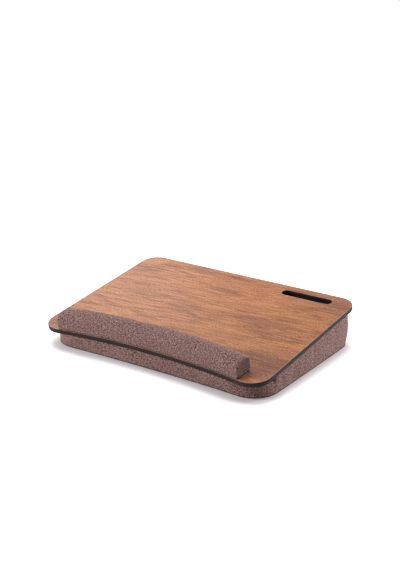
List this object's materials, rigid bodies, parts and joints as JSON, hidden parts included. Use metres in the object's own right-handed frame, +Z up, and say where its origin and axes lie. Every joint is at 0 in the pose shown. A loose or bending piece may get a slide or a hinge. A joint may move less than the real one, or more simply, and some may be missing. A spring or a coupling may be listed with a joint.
{
  "type": "cushioned lap desk",
  "caption": "Lap desk: wood-look board with a concave front edge, a padded wrist rest and a phone slot, on a wedge cushion covered in mottled cloth.",
  "frame": {"origin": "on the surface it stands on, under the middle of the whole desk", "axes": "+X to the user's right along the desk's width, +Y away from the user, +Z up"},
  "size_m": [0.435, 0.3152, 0.0744],
  "materials": {
    "fibreboard": "dark sealed cut edge",
    "walnut_laminate": "satin wood-look laminate, grain along X",
    "backing_laminate": "matte balancing laminate",
    "adhesive_tape": "matte foam tape",
    "foam": "open-cell foam",
    "cloth": "mottled two-tone woven cloth, rose brown with light flecks",
    "base_cloth": "plain dark cloth"
  },
  "bodies": {
    "root": {"board_core": "fibreboard", "walnut_face": "walnut_laminate", "backing_face": "backing_laminate", "wrist_tape": "adhesive_tape", "wrist_foam": "foam", "wrist_cover": "cloth", "wrist_end_left": "cloth", "wrist_end_right": "cloth", "cushion_adhesive_sheet": "adhesive_tape", "cushion_top_cloth": "base_cloth", "slot_liner": "base_cloth", "cushion_foam": "foam", "cushion_side_band": "cloth", "cushion_base_cloth": "cloth"}
  },
  "joints": []
}
